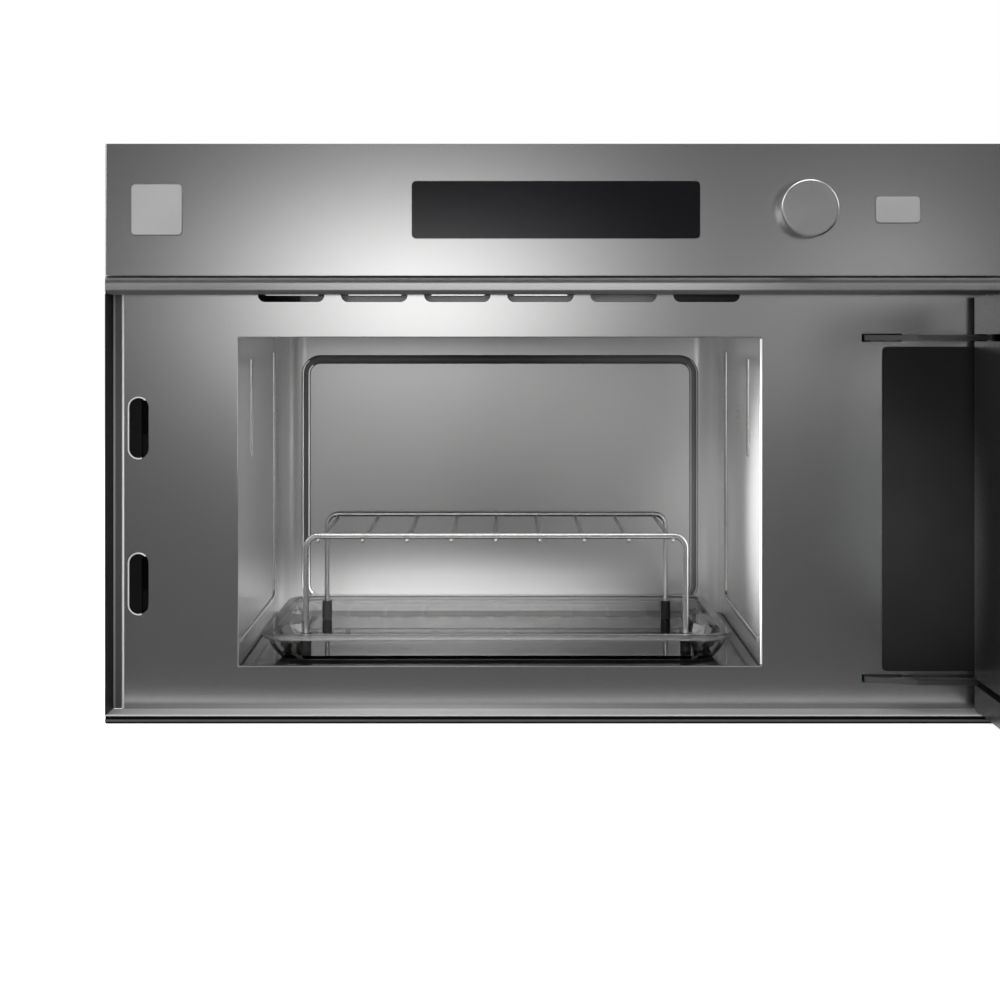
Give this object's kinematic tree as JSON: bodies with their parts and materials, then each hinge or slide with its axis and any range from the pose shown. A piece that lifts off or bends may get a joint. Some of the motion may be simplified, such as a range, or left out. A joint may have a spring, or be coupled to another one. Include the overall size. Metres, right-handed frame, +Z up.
{
  "type": "built-in microwave",
  "caption": "Built-in microwave with a right-hung door standing open, steel front and cavity, glass tray, wire rack and working latch, knob and buttons.",
  "frame": {"origin": "on the plane that the appliance stands on, in the plane of the front plate's face, halfway across the front", "axes": "+X to the right as seen from the room, +Y into the cabinet, +Z up; the door stands open towards -Y"},
  "size_m": [0.594, 0.8947, 0.382],
  "materials": {
    "satin_steel": "satin, fine horizontal brushing",
    "trim_steel": "satin, rounded edges",
    "cavity_steel": "bright, half-mirror",
    "zinc_sheet": "zinc-plated, matt",
    "black_panel": "black, smooth",
    "dark_window": "black, glossy",
    "knob_metal": "turned, satin",
    "button_plastic": "silver grey, satin",
    "white_plastic": "natural, moulded",
    "grey_plastic": "moulded",
    "black_plastic": "moulded, matt",
    "circuit_board": "solder mask",
    "arm_steel": "bright stamped steel",
    "ceramic_floor": "black glass ceramic, glossy",
    "seal_rubber": "silicone, matt",
    "mica": "mica sheet",
    "aluminium_sheet": "plain",
    "quartz": "frosted quartz",
    "lamp_glass": "clear bulb",
    "ferrite": "ferrite and winding",
    "magnetron_metal": "finned, plain",
    "door_glass": "black-tinted, glossy",
    "clear_glass": "clear, glossy",
    "black_metal": "black enamel",
    "tray_glass": "pressed clear glass",
    "chrome_wire": "chromed wire",
    "spring_steel": "spring wire",
    "foot_rubber": "black rubber"
  },
  "bodies": {
    "cabinet": {"front_plate": "satin_steel", "top_trim": "trim_steel", "bottom_trim": "trim_steel", "side_trim_left": "trim_steel", "side_trim_right": "trim_steel", "hinge_cover": "black_panel", "control_panel": "satin_steel", "display_window": "dark_window", "display_board": "circuit_board", "selector_encoder": "black_plastic", "latch_housing": "grey_plastic", "interlock_switches": "white_plastic", "hinge_bracket": "zinc_sheet", "hinge_arm_lower": "arm_steel", "hinge_arm_upper": "arm_steel", "base_plate": "zinc_sheet", "housing_cover": "zinc_sheet", "back_panel": "zinc_sheet", "housing_screws": "zinc_sheet", "cable_gland": "black_plastic", "cavity_shell": "cavity_steel", "floor_plate": "ceramic_floor", "floor_seal": "seal_rubber", "stirrer_cover": "mica", "stirrer_motor": "zinc_sheet", "waveguide": "zinc_sheet", "magnetron": "magnetron_metal", "grill_reflector": "aluminium_sheet", "grill_tubes": "quartz", "lamp_holder": "zinc_sheet", "lamp": "lamp_glass", "air_duct": "black_plastic", "thermal_cutouts": "black_plastic", "fan_housing": "black_plastic", "fan_motor": "grey_plastic", "inverter_board": "circuit_board", "inverter_heatsink": "aluminium_sheet", "inverter_transformer": "ferrite", "filter_board": "circuit_board"},
    "door": {"door_glass": "door_glass", "door_frame": "black_plastic", "door_cover": "black_metal", "door_choke": "black_metal", "door_screen": "black_metal", "choke_cover": "black_plastic", "door_inner_glass": "clear_glass", "hinge_pins": "spring_steel"},
    "latch": {"door_latch": "white_plastic", "latch_spring": "spring_steel"},
    "tray": {"glass_tray": "tray_glass"},
    "rack": {"rack_front_frame": "chrome_wire", "rack_back_frame": "chrome_wire", "rack_cross_wires": "chrome_wire", "rack_feet": "foot_rubber"},
    "knob": {"selector_knob": "knob_metal"},
    "start": {"start_button": "button_plastic"},
    "opener": {"door_button": "button_plastic"},
    "release": {"release_slider": "white_plastic"},
    "fan": {"fan_rotor": "grey_plastic"},
    "mode_stirrer": {"stirrer": "aluminium_sheet"}
  },
  "joints": [
    {"name": "door_swing", "type": "hinge", "parent": "cabinet", "child": "door", "pos_m": [0.288, -0.012, 0.14], "axis": [0, 0, 1], "range_deg": [-90, 0]},
    {"name": "latch_slide", "type": "slide", "parent": "door", "child": "latch", "axis": [0, 0, 1], "range_m": [0, 0.006], "stiffness_N_per_m": 150, "springref_m": -0.006, "deforming": ["latch_spring"]},
    {"name": "tray_slide", "type": "slide", "parent": "cabinet", "child": "tray", "axis": [0, -1, 0], "range_m": [0, 0.3]},
    {"name": "rack_lift", "type": "slide", "parent": "tray", "child": "rack", "axis": [0, 0, 1], "range_m": [0, 0.06]},
    {"name": "knob_turn", "type": "hinge", "parent": "cabinet", "child": "knob", "pos_m": [0.165, -0.03, 0.3385], "axis": [0, 1, 0], "continuous": true},
    {"name": "start_press", "type": "slide", "parent": "cabinet", "child": "start", "axis": [0, 1, 0], "range_m": [0, 0.0012], "stiffness_N_per_m": 700, "springref_m": -0.001},
    {"name": "door_button_press", "type": "slide", "parent": "cabinet", "child": "opener", "axis": [0, 1, 0], "range_m": [0, 0.005], "stiffness_N_per_m": 600, "springref_m": -0.003},
    {"name": "release_rise", "type": "slide", "parent": "cabinet", "child": "release", "axis": [0, 0, 1], "range_m": [0, 0.005]},
    {"name": "fan_spin", "type": "hinge", "parent": "cabinet", "child": "fan", "pos_m": [0.2102, 0.259, 0.2], "axis": [0, 1, 0], "continuous": true},
    {"name": "stirrer_spin", "type": "hinge", "parent": "cabinet", "child": "mode_stirrer", "pos_m": [-0.037, 0.074, 0.27], "axis": [0, 0, 1], "continuous": true}
  ],
  "couplings": [
    {"joint": "release_rise", "follows": "door_button_press", "ratio": 1}
  ]
}
